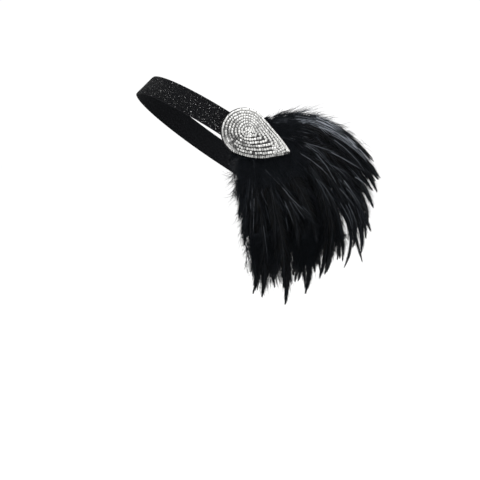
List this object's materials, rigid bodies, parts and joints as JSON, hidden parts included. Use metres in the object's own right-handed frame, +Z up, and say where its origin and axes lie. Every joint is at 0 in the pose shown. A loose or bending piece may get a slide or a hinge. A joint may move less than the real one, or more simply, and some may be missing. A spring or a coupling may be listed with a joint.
{
  "type": "feather headband",
  "caption": "Glitter elastic headband with a fan of black feathers under a teardrop patch of silver glass beads, held as if worn on a head.",
  "frame": {"origin": "centre of the band's loop, where the head sits in it", "axes": "+Z up as worn, -Y the way the wearer faces, +X towards the wearer's left, the side with the feathers"},
  "size_m": [0.1661, 0.1819, 0.179],
  "materials": {
    "glitter_elastic": "black woven elastic with small grey glitter",
    "black_feather": "glossy black feather",
    "black_felt": "matt black felt",
    "silver_glass": "silver-lined clear glass beads"
  },
  "bodies": {
    "root": {"elastic_band": "glitter_elastic", "feather_fan": "black_feather", "patch_felt": "black_felt", "bead_rows": "silver_glass"}
  },
  "joints": []
}
